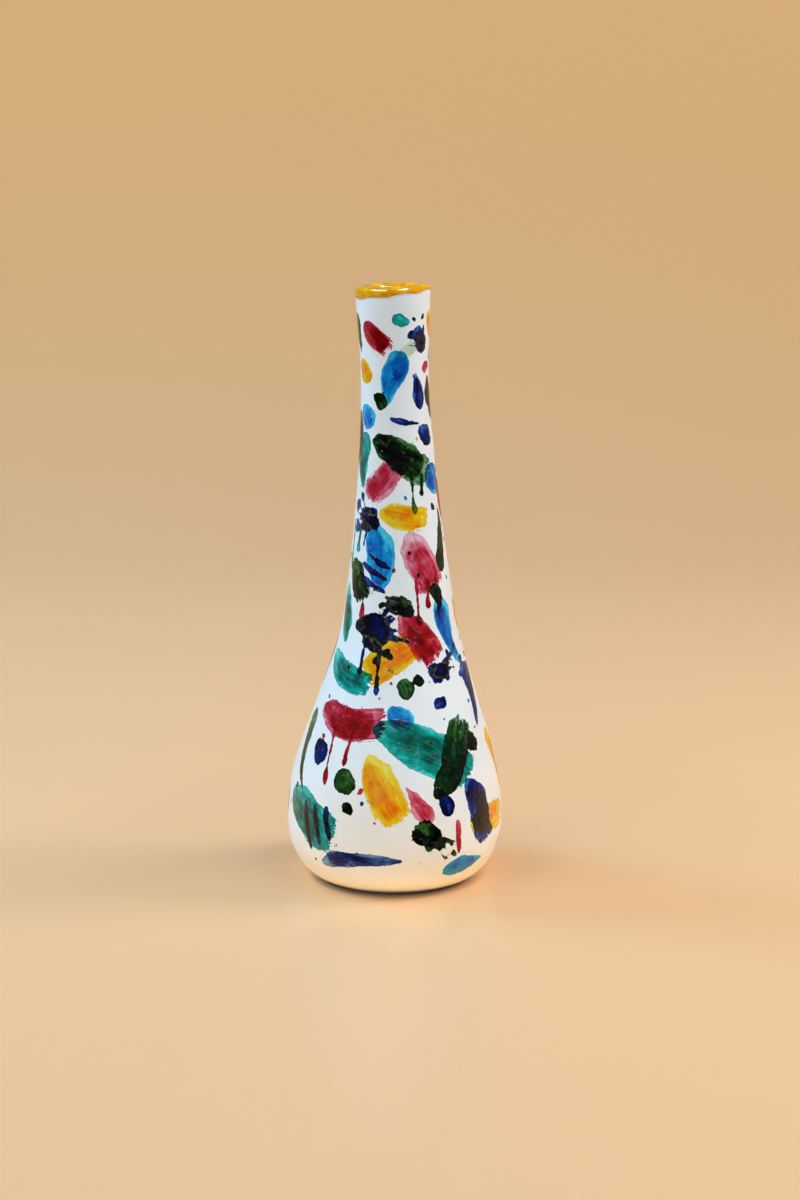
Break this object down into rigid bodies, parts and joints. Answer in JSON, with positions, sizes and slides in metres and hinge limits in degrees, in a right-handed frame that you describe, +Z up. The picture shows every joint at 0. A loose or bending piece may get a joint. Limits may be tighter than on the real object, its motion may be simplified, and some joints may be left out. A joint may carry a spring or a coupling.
{
  "type": "oil cruet",
  "caption": "Tall glazed ceramic oil bottle with a low round belly, long tapering neck and open thick lip, painted all over with loose brush marks, for keeping and pouring oil.",
  "frame": {"origin": "centre of the foot ring, on the surface that the bottle stands on", "axes": "+Z up along the bottle's axis to the mouth, -Y towards the picture's camera, +X to its right"},
  "size_m": [0.0936, 0.0936, 0.26],
  "materials": {
    "bare_clay": "matt fired clay, bare",
    "white_glaze": "satin-gloss white glaze with brushed colours",
    "lining_glaze": "plain glossy white glaze",
    "yellow_glaze": "glossy yellow glaze, brushed on thick"
  },
  "bodies": {
    "root": {"clay_body": "bare_clay", "outer_glaze": "white_glaze", "lining_glaze": "lining_glaze", "lip_glaze": "yellow_glaze"}
  },
  "joints": []
}
